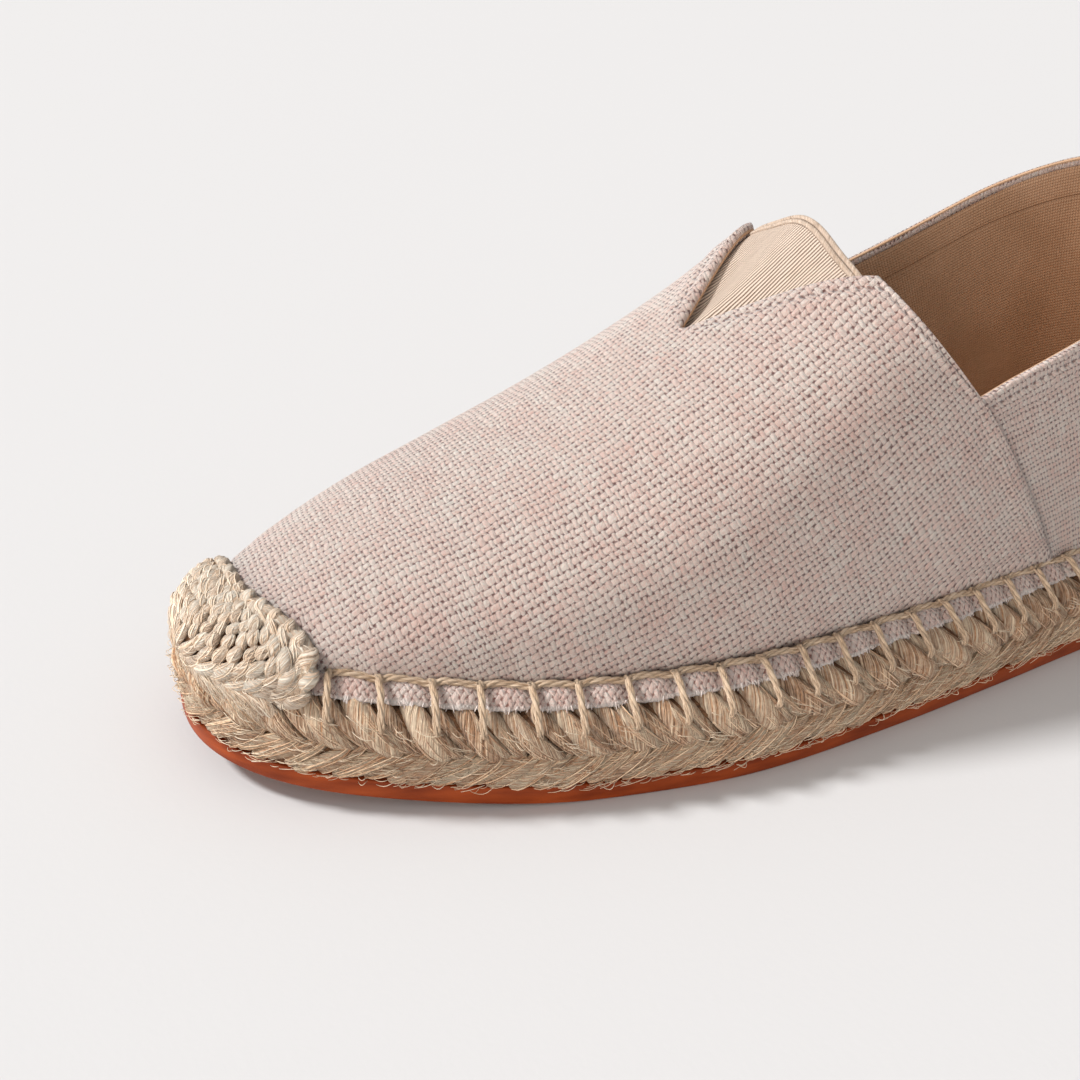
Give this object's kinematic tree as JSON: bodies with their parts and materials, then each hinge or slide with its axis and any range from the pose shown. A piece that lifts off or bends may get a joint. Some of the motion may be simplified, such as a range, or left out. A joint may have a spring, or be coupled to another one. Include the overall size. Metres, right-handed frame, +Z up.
{
  "type": "espadrille",
  "caption": "Woman's slip-on espadrille for the left foot: canvas upper on a braided jute sole with a thin rubber outsole, darned toe cap and elastic gore.",
  "frame": {"origin": "on the ground under the middle of the sole", "axes": "+Z up, the toe points along -Y, +X is the outer side of the left foot"},
  "size_m": [0.0898, 0.2497, 0.088],
  "materials": {
    "rubber": "semi-gloss caramel crepe rubber",
    "jute_braid": "natural jute plait",
    "insole_cloth": "plain woven cotton",
    "canvas": "coarse basket-weave canvas in cream and dusty pink",
    "elastic": "fine-ribbed woven elastic",
    "jute_yarn": "darned natural jute yarn",
    "jute_twine": "twisted jute twine"
  },
  "bodies": {
    "root": {"outsole": "rubber", "midsole": "jute_braid", "insole": "insole_cloth", "upper": "canvas", "gore": "elastic", "toe_cap": "jute_yarn", "stitch_cord": "jute_twine"}
  },
  "joints": []
}
